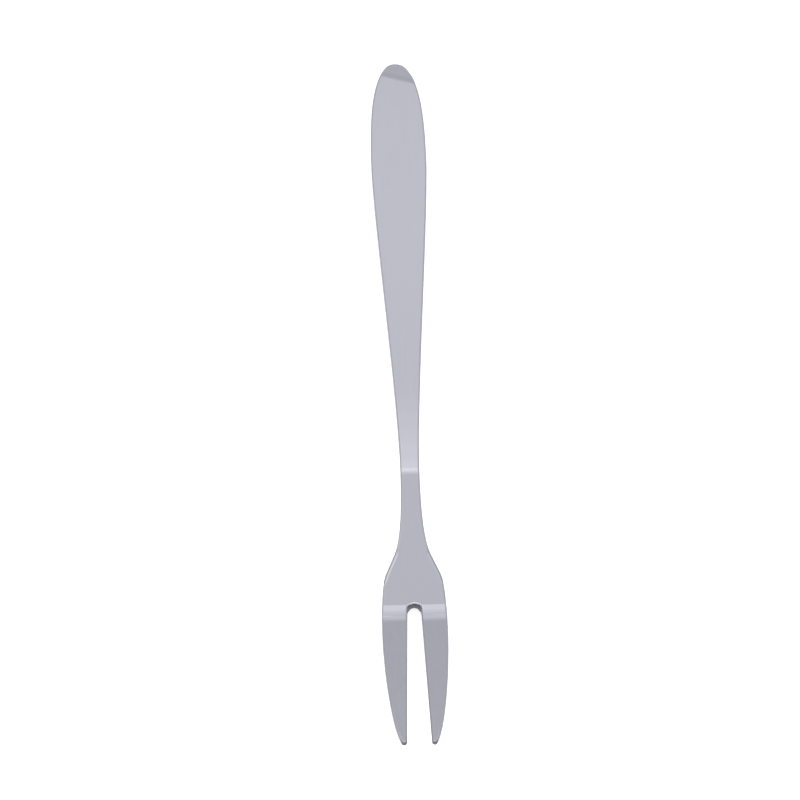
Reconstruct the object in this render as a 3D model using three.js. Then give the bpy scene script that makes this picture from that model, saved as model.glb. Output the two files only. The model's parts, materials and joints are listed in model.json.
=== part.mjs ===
// A two-tined dessert fork in one piece of stainless sheet. The blank is punched to its outline,
// its edges are tumbled round, its tines are rolled thinner to the tips, and a press then bends it:
// a small lip turned down at the handle's end, a sweep and a crank into the neck, and a crease and an
// upward bend at the root of the tines.
//
// Millimetres, +Z up. The fork lies face up as it rests on a table, on the edge of its lip and on
// the underside of the crease. The tips point to -Y, the handle to +Y, and X = 0 halves the fork.

import * as THREE from 'three';
import { mergeVertices } from 'three/addons/utils/BufferGeometryUtils.js';

// Sheet, with edges that are rounded further across its face than down its wall. The tips have the
// tightest outward rounds, so an edge takes up at most a share of their radius.
const SHEET_THICKNESS = 2.5;
const TINE_TIP_THICKNESS = 0.9;
const EDGE_ACROSS = 0.4;
const EDGE_DOWN = 0.22;
const MOST_EDGE_AT_TIP = 0.8;

// Handle, along the flat blank from its round end to the waist where the neck begins
const HANDLE_LENGTH = 95;
const HANDLE_WIDTH = 10.53;
const HANDLE_WIDEST_AT = 24.6;
const HANDLE_END_RADIUS = 2.3;
const HANDLE_END_LEAN = 31;
const HANDLE_END_EASE = 5.1;
const HANDLE_WIDEST_EASE = 12;
const HANDLE_WAIST_EASE = 15;

// Neck, from the waist to the corners of the shoulders
const NECK_LENGTH = 20.75;
const NECK_WIDTH = 3.44;
const NECK_EASE = 9;

// Shoulders, straight flanks that end in a rounded corner
const SHOULDER_WIDTH = 10.2;
const SHOULDER_LEAN = 23.5;
const SHOULDER_FLANK = 4.5;
const SHOULDER_EASE = 2.8;
const SHOULDER_ROUNDING = 0.9;

// Head, from the shoulder corners to the crown of the slot, and its widest place past those corners
const HEAD_LENGTH = 5.07;
const HEAD_WIDTH = 11.56;
const HEAD_WIDEST_AT = 10.7;
const HEAD_LEAN = 8.9;
const HEAD_EASE = 3;

// Tines and the slot between them, from the slot's crown to the tips
const TINE_LENGTH = 30.88;
const TINE_TIP_RADIUS = 0.5;
const TINE_TIP_SPACING = 5.22;
const TINE_TIP_LEAN = 27;
const TINE_EASE = 8.8;
const TINE_TIP_EASE = 3.4;
const SLOT_ROOT_RADIUS = 1.245;

// Bends: angles in degrees, radii to the middle of the sheet. The crank starts a little before the waist.
// At the root of the tines a crease starts just past the slot's crown, and the main bend follows it.
const LIP_LENGTH = 3.15;
const LIP_ANGLE = 10;
const LIP_RADIUS = 9;
const SWEEP_ANGLE = 4.5;
const SWEEP_RADIUS = 245;
const CRANK_LEAD = 0.3;
const CRANK_ANGLE = 6.5;
const CRANK_RADIUS = 15;
const CREASE_START = 0.12;
const CREASE_ANGLE = 9.2;
const CREASE_RADIUS = 2;
const ROOT_START = 1.28;
const ROOT_ANGLE = 11.5;
const ROOT_RADIUS = 15;

// Fineness of the faceted surface
const POINTS_PER_CURVE = 8;
const FACETS_PER_EDGE = 2;
const DEGREES_PER_FOLD = 3;

// How nearly level the fork has to lie, in radians
const LEVEL_WITHIN = 1e-7;

const SATIN_STEEL = new THREE.MeshStandardMaterial({ color: 0xb4b3bd, metalness: 1, roughness: 0.35 });

// Places along the flat blank, all measured from the handle's round end
const shoulderAt = HANDLE_LENGTH + NECK_LENGTH;
const slotCrownAt = shoulderAt + HEAD_LENGTH;
const forkLength = slotCrownAt + TINE_LENGTH;

// A point of the flat blank, which is drawn with its handle end at the origin and its tips to -Y.
function blankPoint(along, across) {
  return new THREE.Vector2(across, -along);
}

// The direction of an outline on the right-hand side that runs to the tips and leans outward.
function leaning(degrees) {
  const lean = THREE.MathUtils.degToRad(degrees);
  return new THREE.Vector2(Math.sin(lean), -Math.cos(lean));
}

function stepped(point, direction, distance) {
  return point.clone().addScaledVector(direction, distance);
}

function curveTo(path, firstHandle, secondHandle, end) {
  path.bezierCurveTo(firstHandle.x, firstHandle.y, secondHandle.x, secondHandle.y, end.x, end.y);
}

// The round end of the handle, its swell to the widest place and its taper to the waist.
function drawHandle(path) {
  const lean = THREE.MathUtils.degToRad(HANDLE_END_LEAN);
  path.moveTo(0, 0);
  path.absarc(0, -HANDLE_END_RADIUS, HANDLE_END_RADIUS, Math.PI / 2, lean, true);
  const half = HANDLE_WIDTH / 2;
  const waist = NECK_WIDTH / 2;
  curveTo(
    path,
    stepped(path.currentPoint, leaning(HANDLE_END_LEAN), HANDLE_END_EASE),
    blankPoint(HANDLE_WIDEST_AT - HANDLE_WIDEST_EASE, half),
    blankPoint(HANDLE_WIDEST_AT, half),
  );
  curveTo(
    path,
    blankPoint(HANDLE_WIDEST_AT + HANDLE_WIDEST_EASE, half),
    blankPoint(HANDLE_LENGTH - HANDLE_WAIST_EASE, waist),
    blankPoint(HANDLE_LENGTH, waist),
  );
}

// The neck flares into the straight flank of the shoulder, which turns a rounded corner.
function drawShoulder(path) {
  const corner = blankPoint(shoulderAt, SHOULDER_WIDTH / 2);
  const flank = leaning(SHOULDER_LEAN);
  const flankStart = stepped(corner, flank, -SHOULDER_FLANK);
  const roundingStart = stepped(corner, flank, -SHOULDER_ROUNDING);
  const roundingEnd = stepped(corner, leaning(HEAD_LEAN), SHOULDER_ROUNDING);
  curveTo(
    path,
    blankPoint(HANDLE_LENGTH + NECK_EASE, NECK_WIDTH / 2),
    stepped(flankStart, flank, -SHOULDER_EASE),
    flankStart,
  );
  path.lineTo(roundingStart.x, roundingStart.y);
  path.quadraticCurveTo(corner.x, corner.y, roundingEnd.x, roundingEnd.y);
}

// The outer side of the head and of one tine, round its tip, and up the slot to the middle of its crown.
// The slot's straight side touches both the round of the tip and the round of the crown.
function drawTine(path) {
  const half = HEAD_WIDTH / 2;
  const widestAt = shoulderAt + HEAD_WIDEST_AT;
  const tip = blankPoint(forkLength - TINE_TIP_RADIUS, TINE_TIP_SPACING / 2);
  const tipSide = leaning(-TINE_TIP_LEAN);
  const tipLean = THREE.MathUtils.degToRad(TINE_TIP_LEAN);
  const sideEnd = stepped(tip, new THREE.Vector2(Math.cos(tipLean), -Math.sin(tipLean)), TINE_TIP_RADIUS);
  curveTo(
    path,
    stepped(path.currentPoint, leaning(HEAD_LEAN), HEAD_EASE),
    blankPoint(widestAt - HEAD_EASE, half),
    blankPoint(widestAt, half),
  );
  curveTo(path, blankPoint(widestAt + TINE_EASE, half), stepped(sideEnd, tipSide, -TINE_TIP_EASE), sideEnd);

  const crown = blankPoint(slotCrownAt + SLOT_ROOT_RADIUS, 0);
  const reach = tip.distanceTo(crown);
  const drop = Math.atan2(crown.y - tip.y, tip.x);
  const slotLean = Math.acos((SLOT_ROOT_RADIUS + TINE_TIP_RADIUS) / reach) - drop;
  path.absarc(tip.x, tip.y, TINE_TIP_RADIUS, -tipLean, slotLean - Math.PI, true);
  path.absarc(crown.x, crown.y, SLOT_ROOT_RADIUS, slotLean, Math.PI / 2, false);
}

// The whole outline: the right-hand half, and its mirror image back to the handle's end.
function blankOutline() {
  const half = new THREE.Path();
  drawHandle(half);
  drawShoulder(half);
  drawTine(half);
  const right = half.getPoints(POINTS_PER_CURVE);
  const left = right.slice(1, -1).reverse().map((point) => new THREE.Vector2(-point.x, point.y));
  return new THREE.Shape([...right, ...left]);
}

// The flat blank with round edges, the middle of its sheet at Z = 0.
function flatBlank() {
  const across = Math.min(EDGE_ACROSS, MOST_EDGE_AT_TIP * TINE_TIP_RADIUS);
  const blank = new THREE.ExtrudeGeometry(blankOutline(), {
    depth: SHEET_THICKNESS - 2 * EDGE_DOWN,
    bevelThickness: EDGE_DOWN,
    bevelSize: across,
    bevelOffset: -across,
    bevelSegments: FACETS_PER_EDGE,
  });
  return blank.translate(0, 0, EDGE_DOWN - SHEET_THICKNESS / 2);
}

// The bends in the order in which they follow each other along the blank. A turn above 0 lifts what
// lies beyond it towards the tips.
function pressBends() {
  const sweepRun = SWEEP_RADIUS * THREE.MathUtils.degToRad(SWEEP_ANGLE);
  const crankAt = HANDLE_LENGTH - CRANK_LEAD;
  return [
    { at: LIP_LENGTH, degrees: -LIP_ANGLE, radius: LIP_RADIUS },
    { at: crankAt - sweepRun, degrees: -SWEEP_ANGLE, radius: SWEEP_RADIUS },
    { at: crankAt, degrees: -CRANK_ANGLE, radius: CRANK_RADIUS },
    { at: slotCrownAt + CREASE_START, degrees: CREASE_ANGLE, radius: CREASE_RADIUS },
    { at: slotCrownAt + ROOT_START, degrees: ROOT_ANGLE, radius: ROOT_RADIUS },
  ].map(({ at, degrees, radius }) => {
    const turn = THREE.MathUtils.degToRad(degrees);
    return { at, turn, curvature: Math.sign(turn) / radius, run: Math.abs(turn) * radius };
  });
}

// Crosswise lines on the blank, where its facets fold in each bend.
function foldLines(bends) {
  return bends.flatMap(({ at, turn, run }) => {
    const folds = Math.ceil(Math.abs(THREE.MathUtils.radToDeg(turn)) / DEGREES_PER_FOLD);
    return Array.from({ length: folds + 1 }, (_, k) => at + (run * k) / folds);
  });
}

function fan(polygon) {
  return polygon.slice(2).map((point, k) => [polygon[0], polygon[k + 1], point]);
}

// Splits a triangle of the blank where a fold line crosses it.
function splitAtFold(triangle, along) {
  const above = [];
  const below = [];
  triangle.forEach((point, k) => {
    const next = triangle[(k + 1) % 3];
    if (point.y >= -along) above.push(point);
    if (point.y <= -along) below.push(point);
    if ((point.y + along) * (next.y + along) < 0) {
      const [low, high] = point.y < next.y ? [point, next] : [next, point];
      const crossing = low.clone().lerp(high, (-along - low.y) / (high.y - low.y));
      crossing.y = -along;
      above.push(crossing);
      below.push(crossing);
    }
  });
  return [...fan(above), ...fan(below)];
}

// The place and slope of the middle of the sheet, at a distance along it from the handle's end.
// The handle itself is level here, and the slope is the rise towards the tips.
function middleOfSheet(along, bends) {
  const place = new THREE.Vector2(0, 0);
  let slope = THREE.MathUtils.degToRad(LIP_ANGLE);
  let walked = 0;
  for (const { at, curvature, run } of bends) {
    const straight = Math.min(along, at) - walked;
    place.x -= straight * Math.cos(slope);
    place.y += straight * Math.sin(slope);
    if (along <= at) return { place, slope };
    const arc = Math.min(along - at, run);
    const turned = slope + arc * curvature;
    place.x -= (Math.sin(turned) - Math.sin(slope)) / curvature;
    place.y -= (Math.cos(turned) - Math.cos(slope)) / curvature;
    slope = turned;
    walked = at + run;
    if (along <= walked) return { place, slope };
  }
  place.x -= (along - walked) * Math.cos(slope);
  place.y += (along - walked) * Math.sin(slope);
  return { place, slope };
}

// Moves a point of the flat blank to where rolling the tines and pressing the bends carry it.
function pressPoint(point, bends) {
  const along = -point.y;
  const rolled = THREE.MathUtils.clamp((along - slotCrownAt) / TINE_LENGTH, 0, 1);
  const height = point.z * THREE.MathUtils.lerp(1, TINE_TIP_THICKNESS / SHEET_THICKNESS, rolled);
  const { place, slope } = middleOfSheet(along, bends);
  return [point.x, place.x + height * Math.sin(slope), place.y + height * Math.cos(slope)];
}

function pressedSheet() {
  const bends = pressBends();
  const lines = foldLines(bends);
  const corners = flatBlank().getAttribute('position');
  const pressed = [];
  for (let first = 0; first < corners.count; first += 3) {
    const triangle = [0, 1, 2].map((k) => new THREE.Vector3().fromBufferAttribute(corners, first + k));
    let facets = [triangle];
    for (const along of lines) {
      facets = facets.flatMap((facet) => splitAtFold(facet, along));
    }
    facets.flat().forEach((point) => pressed.push(...pressPoint(point, bends)));
  }
  const sheet = new THREE.BufferGeometry();
  sheet.setAttribute('position', new THREE.Float32BufferAttribute(pressed, 3));
  const welded = mergeVertices(sheet);
  welded.computeVertexNormals();
  return welded;
}

// The lowest corner on one side of the sheet's middle, seen from the side with the sheet turned about X.
function lowestCorner(sheet, turn, onSide) {
  const corners = sheet.getAttribute('position');
  const middle = (sheet.boundingBox.min.y + sheet.boundingBox.max.y) / 2;
  const axis = new THREE.Vector3(1, 0, 0);
  let lowest = null;
  for (let k = 0; k < corners.count; k += 1) {
    const corner = new THREE.Vector3().fromBufferAttribute(corners, k);
    const side = Math.sign(corner.y - middle);
    corner.applyAxisAngle(axis, turn);
    if (side === onSide && (!lowest || corner.z < lowest.z)) lowest = corner;
  }
  return lowest;
}

// The turn about X that brings the lip's edge and the underside of the crease to one level.
function restingTurn(sheet) {
  sheet.computeBoundingBox();
  let turn = 0;
  let correction = Infinity;
  while (Math.abs(correction) > LEVEL_WITHIN) {
    const lip = lowestCorner(sheet, turn, 1);
    const crease = lowestCorner(sheet, turn, -1);
    correction = Math.atan2(crease.z - lip.z, lip.y - crease.y);
    turn += correction;
  }
  return turn;
}

// The pressed fork, turned to lie on the table and centred over the origin.
function forkBody() {
  const body = new THREE.Mesh(pressedSheet(), SATIN_STEEL);
  body.name = 'fork_body';
  body.rotation.x = restingTurn(body.geometry);
  const box = new THREE.Box3().setFromObject(body, true);
  body.position.set(0, -(box.min.y + box.max.y) / 2, -box.min.z);
  return body;
}

const dessertFork = new THREE.Group();
dessertFork.add(forkBody());

export default dessertFork;
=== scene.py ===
import json
import math

import bmesh
import bpy
from mathutils import Matrix, Vector
from mathutils.geometry import interpolate_bezier


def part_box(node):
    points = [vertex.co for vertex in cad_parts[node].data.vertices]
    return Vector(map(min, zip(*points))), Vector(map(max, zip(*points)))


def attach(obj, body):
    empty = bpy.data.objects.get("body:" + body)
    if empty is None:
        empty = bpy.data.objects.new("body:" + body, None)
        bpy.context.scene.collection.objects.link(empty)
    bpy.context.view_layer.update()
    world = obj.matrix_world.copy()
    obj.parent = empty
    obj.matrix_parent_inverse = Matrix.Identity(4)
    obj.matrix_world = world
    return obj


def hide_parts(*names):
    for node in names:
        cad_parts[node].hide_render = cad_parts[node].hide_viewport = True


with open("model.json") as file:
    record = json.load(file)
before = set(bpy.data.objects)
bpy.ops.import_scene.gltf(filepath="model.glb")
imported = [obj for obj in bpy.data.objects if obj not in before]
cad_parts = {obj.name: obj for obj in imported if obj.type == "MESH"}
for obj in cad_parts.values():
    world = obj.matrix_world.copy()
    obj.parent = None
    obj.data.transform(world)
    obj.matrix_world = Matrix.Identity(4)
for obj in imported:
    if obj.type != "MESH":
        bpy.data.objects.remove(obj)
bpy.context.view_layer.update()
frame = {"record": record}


# The fork is one blank of stainless sheet, punched to its outline with the slot between its tines.
# It is brushed lengthwise and tumbled until its edges are round, its tines are rolled thinner to
# their tips, and a press sets the lip, the sweep, the crank and the bend at the root of the tines.

MM = 0.001
SHEET_THICKNESS = 2.5 * MM
TINE_TIP_THICKNESS = 0.9 * MM
EDGE_ACROSS = 0.4 * MM
EDGE_DOWN = 0.22 * MM

HANDLE_LENGTH = 95 * MM
HANDLE_WIDTH = 10.53 * MM
HANDLE_WIDEST_AT = 24.6 * MM
HANDLE_END_RADIUS = 2.3 * MM
HANDLE_END_LEAN = math.radians(31)
HANDLE_END_EASE = 5.1 * MM
HANDLE_WIDEST_EASE = 12 * MM
HANDLE_WAIST_EASE = 15 * MM

NECK_LENGTH = 20.75 * MM
NECK_WIDTH = 3.44 * MM
NECK_EASE = 9 * MM

SHOULDER_WIDTH = 10.2 * MM
SHOULDER_LEAN = math.radians(23.5)
SHOULDER_FLANK = 4.5 * MM
SHOULDER_EASE = 2.8 * MM
SHOULDER_ROUNDING = 0.9 * MM

HEAD_LENGTH = 5.07 * MM
HEAD_WIDTH = 11.56 * MM
HEAD_WIDEST_AT = 10.7 * MM
HEAD_LEAN = math.radians(8.9)
HEAD_EASE = 3 * MM

TINE_LENGTH = 30.88 * MM
TINE_TIP_RADIUS = 0.5 * MM
TINE_TIP_SPACING = 5.22 * MM
TINE_TIP_LEAN = math.radians(27)
TINE_EASE = 8.8 * MM
TINE_TIP_EASE = 3.4 * MM
SLOT_ROOT_RADIUS = 1.245 * MM

CURVE_POINTS = 48
CORNER_HANDLE = 2 / 3
ARC_STEP = math.radians(6)
EDGE_SEGMENTS = 6
WELD = 0.001 * MM

shoulder_at = HANDLE_LENGTH + NECK_LENGTH
slot_crown_at = shoulder_at + HEAD_LENGTH
fork_length = slot_crown_at + TINE_LENGTH

blank = bmesh.new()


def on_blank(along, across):
    """A place on the flat blank: along it from the handle's end, across it from its middle."""
    return Vector((across, -along, 0))


def leaning(lean):
    """The way that the right-hand outline runs to the tips where it leans outward by an angle."""
    return Vector((math.sin(lean), -math.cos(lean), 0))


def draw_line(pen, end):
    pen = bmesh.ops.extrude_vert_indiv(blank, verts=[pen])["verts"][0]
    pen.co = end
    return pen


def draw_curve(pen, first_handle, second_handle, end):
    for place in interpolate_bezier(pen.co, first_handle, second_handle, end, CURVE_POINTS)[1:]:
        pen = draw_line(pen, place)
    return pen


def draw_arc(pen, centre, angle):
    swung = bmesh.ops.spin(
        blank,
        geom=[pen],
        cent=centre,
        axis=(0, 0, 1),
        angle=angle,
        steps=math.ceil(abs(angle) / ARC_STEP),
    )
    return swung["geom_last"][0]


# Right-hand side of the handle: its round end, its swell and its taper to the waist.
pen = blank.verts.new(on_blank(0, 0))
pen = draw_arc(pen, on_blank(HANDLE_END_RADIUS, 0), HANDLE_END_LEAN - math.pi / 2)
pen = draw_curve(
    pen,
    pen.co + leaning(HANDLE_END_LEAN) * HANDLE_END_EASE,
    on_blank(HANDLE_WIDEST_AT - HANDLE_WIDEST_EASE, HANDLE_WIDTH / 2),
    on_blank(HANDLE_WIDEST_AT, HANDLE_WIDTH / 2),
)
pen = draw_curve(
    pen,
    on_blank(HANDLE_WIDEST_AT + HANDLE_WIDEST_EASE, HANDLE_WIDTH / 2),
    on_blank(HANDLE_LENGTH - HANDLE_WAIST_EASE, NECK_WIDTH / 2),
    on_blank(HANDLE_LENGTH, NECK_WIDTH / 2),
)

# Neck and shoulder: a flare, a straight flank and a rounded corner.
corner = on_blank(shoulder_at, SHOULDER_WIDTH / 2)
flank_start = corner - leaning(SHOULDER_LEAN) * SHOULDER_FLANK
pen = draw_curve(
    pen,
    on_blank(HANDLE_LENGTH + NECK_EASE, NECK_WIDTH / 2),
    flank_start - leaning(SHOULDER_LEAN) * SHOULDER_EASE,
    flank_start,
)
pen = draw_line(pen, corner - leaning(SHOULDER_LEAN) * SHOULDER_ROUNDING)
rounding_end = corner + leaning(HEAD_LEAN) * SHOULDER_ROUNDING
pen = draw_curve(
    pen,
    pen.co.lerp(corner, CORNER_HANDLE),
    rounding_end.lerp(corner, CORNER_HANDLE),
    rounding_end,
)

# Head and tine: out to the widest place, down to the round tip, and up the slot to its crown.
# The slot's straight side touches both the round of the tip and the round of the crown.
widest_at = shoulder_at + HEAD_WIDEST_AT
tip = on_blank(fork_length - TINE_TIP_RADIUS, TINE_TIP_SPACING / 2)
side_end = tip + Vector((math.cos(TINE_TIP_LEAN), -math.sin(TINE_TIP_LEAN), 0)) * TINE_TIP_RADIUS
crown = on_blank(slot_crown_at + SLOT_ROOT_RADIUS, 0)
slot_lean = math.acos((SLOT_ROOT_RADIUS + TINE_TIP_RADIUS) / (tip - crown).length)
slot_lean -= math.atan2(crown.y - tip.y, tip.x)
slot_end = crown + Vector((math.cos(slot_lean), math.sin(slot_lean), 0)) * SLOT_ROOT_RADIUS
pen = draw_curve(
    pen,
    pen.co + leaning(HEAD_LEAN) * HEAD_EASE,
    on_blank(widest_at - HEAD_EASE, HEAD_WIDTH / 2),
    on_blank(widest_at, HEAD_WIDTH / 2),
)
pen = draw_curve(
    pen,
    on_blank(widest_at + TINE_EASE, HEAD_WIDTH / 2),
    side_end - leaning(-TINE_TIP_LEAN) * TINE_TIP_EASE,
    side_end,
)
pen = draw_arc(pen, tip, slot_lean - math.pi + TINE_TIP_LEAN)
pen = draw_line(pen, slot_end)
pen = draw_arc(pen, crown, math.pi / 2 - slot_lean)

# Both halves, filled and given the sheet's thickness, with both rims tumbled round. The bevel is
# made on a thicker blank, which is then flattened, so that the rims are rounded further across
# than down.
bmesh.ops.mirror(blank, geom=blank.verts[:] + blank.edges[:], axis="X", merge_dist=WELD)
bmesh.ops.contextual_create(blank, geom=blank.edges[:])
lifted = bmesh.ops.extrude_face_region(blank, geom=blank.faces[:])["geom"]
lifted = [part for part in lifted if isinstance(part, bmesh.types.BMVert)]
bevel_thickness = SHEET_THICKNESS * EDGE_ACROSS / EDGE_DOWN
bmesh.ops.translate(blank, vec=(0, 0, bevel_thickness), verts=lifted)
bmesh.ops.translate(blank, vec=(0, 0, -bevel_thickness / 2), verts=blank.verts)
bmesh.ops.recalc_face_normals(blank, faces=blank.faces)
rims = [edge for edge in blank.edges if abs(edge.verts[0].co.z - edge.verts[1].co.z) < WELD]
bmesh.ops.bevel(
    blank,
    geom=rims,
    offset=EDGE_ACROSS,
    offset_type="OFFSET",
    affect="EDGES",
    segments=EDGE_SEGMENTS,
    profile=0.5,
    material=-1,
)
bmesh.ops.scale(blank, vec=(1, 1, EDGE_DOWN / EDGE_ACROSS), verts=blank.verts)

# Grinding the straight flanks of the shoulder leaves two narrow flats on their upper rim, a steep
# one by the wall and a shallow one inside it. Both run out into the round rim just past the ends
# of the flank.
STEEP_FLAT = math.radians(33)
STEEP_FLAT_UP = 0.13 * MM
SHALLOW_FLAT = math.radians(12)
FLAT_RUNOUT = 1.5 * MM
flank_middle = (flank_start.y + corner.y) / 2
blank.normal_update()
for vertex in blank.verts:
    up_rim = vertex.co.z - SHEET_THICKNESS / 2 + EDGE_DOWN
    past_flank = max(0, abs(vertex.co.y - flank_middle) - SHOULDER_FLANK / 2)
    if up_rim > 0 and past_flank < FLAT_RUNOUT:
        ground = math.cos(past_flank / FLAT_RUNOUT * math.pi / 2) ** 2
        inside_round = EDGE_ACROSS * (1 - math.sqrt(max(0, 1 - (up_rim / EDGE_DOWN) ** 2)))
        inside_flat = min(up_rim, STEEP_FLAT_UP) / math.tan(STEEP_FLAT)
        inside_flat += max(0, up_rim - STEEP_FLAT_UP) / math.tan(SHALLOW_FLAT)
        inward = -vertex.normal.xy.normalized().to_3d()
        vertex.co += inward * ground * (inside_flat - inside_round)

# What the finish follows: the way of the brushing, and how dark the wall and rim are drawn.
# The wall is laid out as a narrow border of the face, so that its brushing runs along it. The
# darkening is partly the punched wall's own dullness and partly painted shade, for the shadowed
# table that the wall mirrors close under it. The painted shade is deepest at the tips and at the
# root of the slot. The darkening fades out up the rim towards the face, soonest on the upper rim
# of the slot's root, and reaches far up its lower rim.
WALL_BORDER = 0.1
DULL_AND_SHADED_WALL = 0.6
RIM_SHADE_FADE = 1.5
TIP_DULL_AND_SHADE = 0.85
ROOT_UPPER_RIM = 3
ROOT_LOWER_RIM = 0.4
brushing = blank.loops.layers.uv.new("brushing")
blank.normal_update()
for face in blank.faces:
    face.smooth = True
    for loop in face.loops:
        outward = loop.vert.normal.xy.normalized()
        depth = SHEET_THICKNESS / 2 - loop.vert.co.z
        loop[brushing].uv = loop.vert.co.xy + outward * depth * WALL_BORDER
# Mask of the dull wall and painted shade: none on the face, most at the tips and the slot's root.
dull_wall_and_painted_shade = blank.verts.layers.float.new("dull_wall_and_painted_shade")
root_reach = SLOT_ROOT_RADIUS + 2 * EDGE_ACROSS
for vertex in blank.verts:
    down_edge = (SHEET_THICKNESS / 2 - abs(vertex.co.z)) / EDGE_DOWN
    from_crown = vertex.co.xy - crown.xy
    # At the tips and at the slot's root the painted shade is deepest.
    if vertex.co.y < tip.y:
        vertex[dull_wall_and_painted_shade] = TIP_DULL_AND_SHADE * down_edge
    elif from_crown.y > 0 and from_crown.length < root_reach:
        crown_shade = math.sqrt(from_crown.y / from_crown.length)
        rim = ROOT_UPPER_RIM if vertex.co.z > 0 else ROOT_LOWER_RIM
        vertex[dull_wall_and_painted_shade] = (DULL_AND_SHADED_WALL + (1 - DULL_AND_SHADED_WALL) * crown_shade) * down_edge**rim
    else:
        vertex[dull_wall_and_painted_shade] = DULL_AND_SHADED_WALL * down_edge**RIM_SHADE_FADE

# Tines rolled thinner, evenly from the slot's crown to the tips.
bmesh.ops.bisect_plane(
    blank,
    geom=blank.verts[:] + blank.edges[:] + blank.faces[:],
    dist=WELD,
    plane_co=on_blank(slot_crown_at, 0),
    plane_no=(0, 1, 0),
)
for vertex in blank.verts:
    rolled = max(0, -vertex.co.y - slot_crown_at) / TINE_LENGTH
    vertex.co.z *= 1 - rolled * (1 - TINE_TIP_THICKNESS / SHEET_THICKNESS)

# Press bends, from the tips back to the handle's end, so that what is still to be bent lies flat.
LIP_LENGTH = 3.15 * MM
LIP_ANGLE = math.radians(10)
LIP_RADIUS = 9 * MM
LIP_SLANT = math.radians(19)
SWEEP_ANGLE = math.radians(4.5)
SWEEP_RADIUS = 245 * MM
CRANK_LEAD = 0.3 * MM
CRANK_ANGLE = math.radians(6.5)
CRANK_RADIUS = 15 * MM
CREASE_START = 0.12 * MM
CREASE_ANGLE = math.radians(9.2)
CREASE_RADIUS = 2 * MM
ROOT_START = 1.28 * MM
ROOT_ANGLE = math.radians(11.5)
ROOT_RADIUS = 15 * MM
FOLD_STEP = math.radians(0.8)


def press(start, angle, radius):
    """Bends the blank round a radius. What lies beyond, to the tips, turns up if angle is over 0."""
    run = radius * abs(angle)
    folds = math.ceil(abs(angle) / FOLD_STEP)
    for fold in reversed(range(folds)):
        line = on_blank(start + run * (fold + 0.5) / folds, 0)
        bmesh.ops.bisect_plane(
            blank,
            geom=blank.verts[:] + blank.edges[:] + blank.faces[:],
            dist=WELD,
            plane_co=line,
            plane_no=(0, 1, 0),
        )
        half_turn = Matrix.Rotation(-angle / folds / 2, 3, "X")
        for limit in (line.y + WELD, line.y - WELD):
            beyond = [vertex for vertex in blank.verts if vertex.co.y < limit]
            bmesh.ops.rotate(blank, cent=line, matrix=half_turn, verts=beyond)


crank_at = HANDLE_LENGTH - CRANK_LEAD
press(slot_crown_at + ROOT_START, ROOT_ANGLE, ROOT_RADIUS)
press(slot_crown_at + CREASE_START, CREASE_ANGLE, CREASE_RADIUS)
press(crank_at, -CRANK_ANGLE, CRANK_RADIUS)
press(crank_at - SWEEP_RADIUS * SWEEP_ANGLE, -SWEEP_ANGLE, SWEEP_RADIUS)

# The lip is bent on a slanted line, so the blank is swung round for that bend and back again.
swing = Matrix.Rotation(LIP_SLANT, 3, "Z")
bmesh.ops.rotate(blank, cent=on_blank(LIP_LENGTH, 0), matrix=swing, verts=blank.verts)
press(LIP_LENGTH, -LIP_ANGLE, LIP_RADIUS)
bmesh.ops.rotate(blank, cent=on_blank(LIP_LENGTH, 0), matrix=swing.inverted(), verts=blank.verts)

# Laid as the frame has it: the handle is levelled first and then set at its mount's angle, and the
# fork goes to the middle of the frame's box, down on the table.
UP = Vector((0, 0, 1))
mount = next(mount for mount in frame["record"]["mounts"] if mount["name"] == "handle_face")
blank.normal_update()
upper_faces = [face for face in blank.faces if face.normal.z > 0]
handle_face = max(upper_faces, key=lambda face: face.calc_area())
levelled = handle_face.normal.rotation_difference(UP).to_matrix()
tilted = UP.rotation_difference(Vector(mount["axis"])).to_matrix()
bmesh.ops.rotate(blank, cent=(0, 0, 0), matrix=tilted @ levelled, verts=blank.verts)
low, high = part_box("fork_body")
across_fork = [vertex.co.x for vertex in blank.verts]
along_fork = [vertex.co.y for vertex in blank.verts]
up_fork = [vertex.co.z for vertex in blank.verts]
aside = (low.x + high.x - min(across_fork) - max(across_fork)) / 2
middle = (low.y + high.y - min(along_fork) - max(along_fork)) / 2
bmesh.ops.translate(blank, vec=(aside, middle, low.z - min(up_fork)), verts=blank.verts)

fork_mesh = bpy.data.meshes.new("pressed_fork")
blank.to_mesh(fork_mesh)
blank.free()
fork = bpy.data.objects.new("pressed_fork", fork_mesh)
bpy.context.scene.collection.objects.link(fork)
weighted = fork.modifiers.new("flat_faces_stay_flat", "WEIGHTED_NORMAL")
weighted.mode = "FACE_AREA"


def linear(hex_colour):
    """An sRGB colour such as #B4B4BE as linear red, green, blue and a full alpha."""
    shares = [int(hex_colour[first:first + 2], 16) / 255 for first in (1, 3, 5)]
    return [
        share / 12.92 if share <= 0.04045 else ((share + 0.055) / 1.055) ** 2.4 for share in shares
    ] + [1]


def add_node(tree, kind, inputs, **settings):
    """Adds a node, sets its properties, and sets or links its inputs."""
    node = tree.nodes.new(kind)
    for name, value in settings.items():
        setattr(node, name, value)
    for socket, value in inputs.items():
        if isinstance(value, bpy.types.NodeSocket):
            tree.links.new(value, node.inputs[socket])
        else:
            node.inputs[socket].default_value = value
    return node


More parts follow.
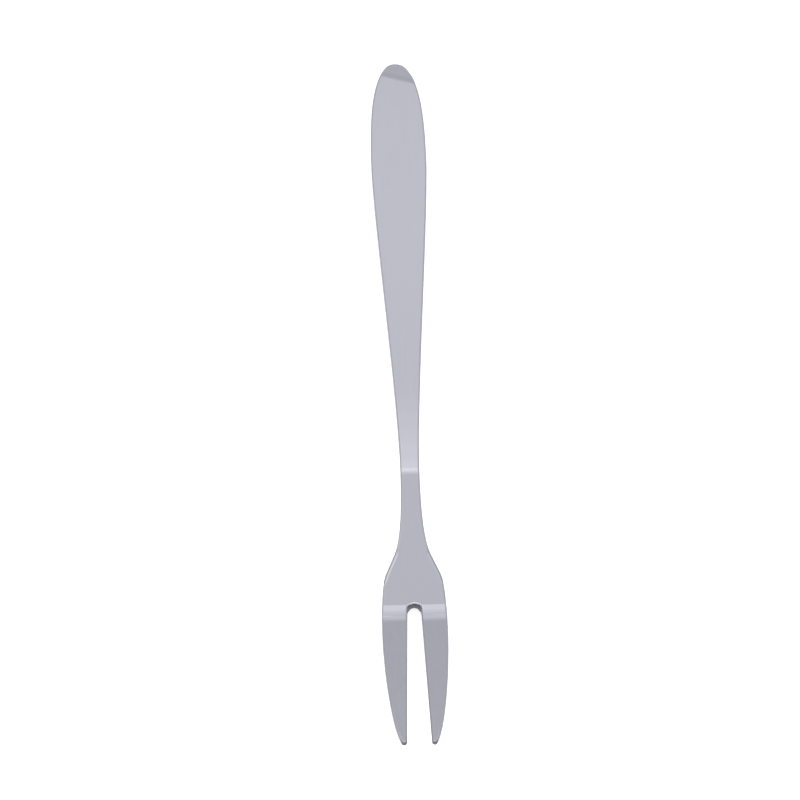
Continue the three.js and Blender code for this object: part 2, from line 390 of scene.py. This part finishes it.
# Stainless steel, brushed lengthwise with a fine belt and then tumbled. The brushing draws faint
# grey streaks, here wider than a belt leaves them so that they show. It smears reflections across
# the fork and keeps them short along it. Tumbling leaves soft clouds. The punched wall below the
# round edge is dull, and its dark grey is also painted shade, for the shadowed table it mirrors.
STREAK_WIDTH = 0.5 * MM
STREAK_LENGTH = 14 * MM
STREAK_HEIGHT = 0.0006 * MM
STREAK_DETAIL = 3
STREAK_GRAIN = 0.6
STREAK_DARK = "#A9A9B3"
STREAK_BRIGHT = "#B7B7C1"
CLOUD_WIDTH = 5 * MM
CLOUD_LENGTH = 11 * MM
CLOUD_HEIGHT = 0.006 * MM
CLOUD_DETAIL = 2
CLOUD_GRAIN = 0.5
CLOUD_GREY = "#B0B0BA"
# Dull punched wall, darkened further as painted shade for the shadowed table it mirrors.
DULL_WALL_AND_SHADE_GREY = "#3E3E4A"
FAINT_STREAK = 0.3
STRONG_STREAK = 0.7
FAINT_ROUGHNESS = 0.21
STRONG_ROUGHNESS = 0.27
BRUSHED_SMEAR = 0.9
COLOUR_A, COLOUR_B, COLOUR_RESULT = 6, 7, 2

steel = bpy.data.materials.new("stainless_steel_brushed_lengthwise")
steel.use_nodes = True
tree = steel.node_tree
tree.nodes.clear()
place = add_node(tree, "ShaderNodeTexCoord", {}).outputs["Object"]
streak_place = add_node(
    tree,
    "ShaderNodeMapping",
    {"Vector": place, "Scale": (1 / STREAK_WIDTH, 1 / STREAK_LENGTH, 1 / STREAK_WIDTH)},
).outputs["Vector"]
streaks = add_node(
    tree,
    "ShaderNodeTexNoise",
    {"Vector": streak_place, "Scale": 1, "Detail": STREAK_DETAIL, "Roughness": STREAK_GRAIN},
).outputs["Fac"]
cloud_place = add_node(
    tree,
    "ShaderNodeMapping",
    {"Vector": place, "Scale": (1 / CLOUD_WIDTH, 1 / CLOUD_LENGTH, 1 / CLOUD_WIDTH)},
).outputs["Vector"]
clouds = add_node(
    tree,
    "ShaderNodeTexNoise",
    {"Vector": cloud_place, "Scale": 1, "Detail": CLOUD_DETAIL, "Roughness": CLOUD_GRAIN},
).outputs["Fac"]
# The mask of the dull wall and of painted shade, read back from the mesh.
wall_and_shade = add_node(tree, "ShaderNodeAttribute", {}, attribute_name="dull_wall_and_painted_shade").outputs["Fac"]
streaked = add_node(
    tree,
    "ShaderNodeMix",
    {"Factor": streaks, COLOUR_A: linear(STREAK_DARK), COLOUR_B: linear(STREAK_BRIGHT)},
    data_type="RGBA",
).outputs[COLOUR_RESULT]
clouded = add_node(
    tree,
    "ShaderNodeMix",
    {"Factor": clouds, COLOUR_A: streaked, COLOUR_B: linear(CLOUD_GREY)},
    data_type="RGBA",
).outputs[COLOUR_RESULT]
colour = add_node(
    tree,
    "ShaderNodeMix",
    {"Factor": wall_and_shade, COLOUR_A: clouded, COLOUR_B: linear(DULL_WALL_AND_SHADE_GREY)},
    data_type="RGBA",
).outputs[COLOUR_RESULT]
roughness = add_node(
    tree,
    "ShaderNodeMapRange",
    {
        "Value": streaks,
        "From Min": FAINT_STREAK,
        "From Max": STRONG_STREAK,
        "To Min": FAINT_ROUGHNESS,
        "To Max": STRONG_ROUGHNESS,
    },
).outputs["Result"]
wavy = add_node(
    tree, "ShaderNodeBump", {"Height": clouds, "Strength": 1, "Distance": CLOUD_HEIGHT}
).outputs["Normal"]
scratched = add_node(
    tree,
    "ShaderNodeBump",
    {"Height": streaks, "Strength": 1, "Distance": STREAK_HEIGHT, "Normal": wavy},
).outputs["Normal"]
across = add_node(
    tree, "ShaderNodeTangent", {}, direction_type="UV_MAP", uv_map="brushing"
).outputs["Tangent"]
shader = add_node(
    tree,
    "ShaderNodeBsdfPrincipled",
    {
        "Base Color": colour,
        "Metallic": 1,
        "Roughness": roughness,
        "Anisotropic": BRUSHED_SMEAR,
        "Normal": scratched,
        "Tangent": across,
    },
)
add_node(tree, "ShaderNodeOutputMaterial", {"Surface": shader.outputs["BSDF"]})
fork_mesh.materials.append(steel)

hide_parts("fork_body")
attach(fork, "root")


# The table is a wide sheet of matt white board under the fork. It reads as white to the eye and in
# the steel, and keeps the soft shadow that the fork lays close around itself.

TABLE_HALF_WIDTH = 3000 * MM
TABLE_WHITE = "#F2F2F2"
TABLE_GLOW = 0.58
GLOW_WHITE = "#FFFFFF"

table_bm = bmesh.new()
bmesh.ops.create_grid(table_bm, x_segments=1, y_segments=1, size=TABLE_HALF_WIDTH)
table_mesh = bpy.data.meshes.new("white_table")
table_bm.to_mesh(table_mesh)
table_bm.free()
table = bpy.data.objects.new("white_table", table_mesh)
bpy.context.scene.collection.objects.link(table)

# White board, coated matt: no gloss, and a little glow to the eye and to mirrors to keep it white.
board = bpy.data.materials.new("white_board_coated_matt")
board.use_nodes = True
tree = board.node_tree
tree.nodes.clear()
ray = add_node(tree, "ShaderNodeLightPath", {}).outputs
seen = add_node(
    tree,
    "ShaderNodeMath",
    {0: ray["Is Camera Ray"], 1: ray["Is Glossy Ray"]},
    operation="MAXIMUM",
).outputs[0]
seen = add_node(
    tree, "ShaderNodeMath", {0: seen, 1: ray["Is Transmission Ray"]}, operation="MAXIMUM"
).outputs[0]
glow = add_node(tree, "ShaderNodeMath", {0: seen, 1: TABLE_GLOW}, operation="MULTIPLY").outputs[0]
matt = add_node(tree, "ShaderNodeBsdfDiffuse", {"Color": linear(TABLE_WHITE)}).outputs[0]
white = add_node(
    tree, "ShaderNodeEmission", {"Color": linear(GLOW_WHITE), "Strength": glow}
).outputs[0]
both = add_node(tree, "ShaderNodeAddShader", {0: matt, 1: white}).outputs[0]
add_node(tree, "ShaderNodeOutputMaterial", {"Surface": both})
table_mesh.materials.append(board)


# The studio is a tent of white cloth. A strip of its ceiling glows most, the ceiling fades to the
# far wall, which lies in half shade, as do both sides overhead. The cloth behind the camera glows
# right across, and by the table it is plain white all round. The fork's bends mirror them in turn.

# How strongly the cloth glows at an angle from overhead, in degrees, above 0 towards the far wall.
TENT_GLOW = (
    (-60, 1.08),
    (-45, 1.75),
    (-12, 1.75),
    (0, 1.08),
    (18.5, 1.08),
    (22, 1.78),
    (24, 2.08),
    (26, 1.65),
    (28, 1.46),
    (31.5, 1.37),
    (34, 1.28),
    (37, 1.19),
    (38.2, 1),
    (40, 1.32),
    (43, 1.32),
    (47.4, 0.905),
    (49.5, 0.845),
    (52, 0.832),
    (57, 0.835),
    (64, 0.94),
    (85, 1),
)
TENT_PEAK = max(strength for angle, strength in TENT_GLOW)
TENT_SIDE = 0.85
TENT_PLAIN = 1
PANEL_MIDDLE = -0.1
PANEL_HALF_WIDTH = 0.35
PANEL_FADE = 0.15
OVERHEAD_FROM = math.radians(-30)
OVERHEAD_TO = 0
PLAIN_BELOW = 0.1
PATTERN_ABOVE = 0.25

world = bpy.data.worlds.new("white_tent")
world.use_nodes = True
tree = world.node_tree
tree.nodes.clear()
way = add_node(tree, "ShaderNodeTexCoord", {}).outputs["Generated"]
way = add_node(tree, "ShaderNodeSeparateXYZ", {"Vector": way}).outputs
from_zenith = add_node(
    tree, "ShaderNodeMath", {0: way["Y"], 1: way["Z"]}, operation="ARCTAN2"
).outputs[0]
over_tent = add_node(
    tree,
    "ShaderNodeMapRange",
    {"Value": from_zenith, "From Min": -math.pi / 2, "From Max": math.pi / 2},
).outputs["Result"]
ramp = add_node(tree, "ShaderNodeValToRGB", {"Fac": over_tent})
cloth = ramp.color_ramp.elements
while len(cloth) < len(TENT_GLOW):
    cloth.new(1)
for stop, (angle, strength) in zip(cloth, TENT_GLOW):
    stop.position = (angle + 90) / 180
    stop.color = [strength / TENT_PEAK] * 3 + [1]
from_panel = add_node(
    tree, "ShaderNodeMath", {0: way["X"], 1: PANEL_MIDDLE}, operation="SUBTRACT"
).outputs[0]
from_panel = add_node(tree, "ShaderNodeMath", {0: from_panel}, operation="ABSOLUTE").outputs[0]
beside_panel = add_node(
    tree,
    "ShaderNodeMapRange",
    {"Value": from_panel, "From Min": PANEL_HALF_WIDTH, "From Max": PANEL_HALF_WIDTH + PANEL_FADE},
).outputs["Result"]
overhead = add_node(
    tree,
    "ShaderNodeMapRange",
    {"Value": from_zenith, "From Min": OVERHEAD_FROM, "From Max": OVERHEAD_TO},
).outputs["Result"]
in_side_shade = add_node(
    tree, "ShaderNodeMath", {0: beside_panel, 1: overhead}, operation="MULTIPLY"
).outputs[0]
cloth_colour = add_node(
    tree,
    "ShaderNodeMix",
    {
        "Factor": in_side_shade,
        COLOUR_A: ramp.outputs["Color"],
        COLOUR_B: [TENT_SIDE / TENT_PEAK] * 3 + [1],
    },
    data_type="RGBA",
).outputs[COLOUR_RESULT]
by_table = add_node(
    tree,
    "ShaderNodeMapRange",
    {
        "Value": way["Z"],
        "From Min": PLAIN_BELOW,
        "From Max": PATTERN_ABOVE,
        "To Min": 1,
        "To Max": 0,
    },
).outputs["Result"]
cloth_colour = add_node(
    tree,
    "ShaderNodeMix",
    {
        "Factor": by_table,
        COLOUR_A: cloth_colour,
        COLOUR_B: [TENT_PLAIN / TENT_PEAK] * 3 + [1],
    },
    data_type="RGBA",
).outputs[COLOUR_RESULT]
tent = add_node(
    tree, "ShaderNodeBackground", {"Color": cloth_colour, "Strength": TENT_PEAK}
).outputs[0]
add_node(tree, "ShaderNodeOutputWorld", {"Surface": tent})
bpy.context.scene.world = world


# The camera looks down on the fork from beyond its tips, as the photograph does, through a long
# lens. Its aim and its angles lay the fork's outline over the photograph's.

PHOTO_SIDE = 800
FOCAL_PIXELS = 3548.4
SENSOR_WIDTH = 36
CAMERA_AIM = Vector((-1.232, -0.959, 0)) * MM
CAMERA_DISTANCE = 650 * MM
CAMERA_ELEVATION = math.radians(57)
CAMERA_AZIMUTH = math.radians(-1.631)

camera_lens = bpy.data.cameras.new("camera")
camera_lens.sensor_width = SENSOR_WIDTH
camera_lens.lens = FOCAL_PIXELS * SENSOR_WIDTH / PHOTO_SIDE
camera = bpy.data.objects.new("camera", camera_lens)
away = Vector(
    (
        math.sin(CAMERA_AZIMUTH) * math.cos(CAMERA_ELEVATION),
        -math.cos(CAMERA_AZIMUTH) * math.cos(CAMERA_ELEVATION),
        math.sin(CAMERA_ELEVATION),
    )
)
camera.location = CAMERA_AIM + away * CAMERA_DISTANCE
camera.rotation_euler = away.to_track_quat("Z", "Y").to_euler()
bpy.context.scene.collection.objects.link(camera)
bpy.context.scene.camera = camera
bpy.context.scene.view_settings.view_transform = "Standard"
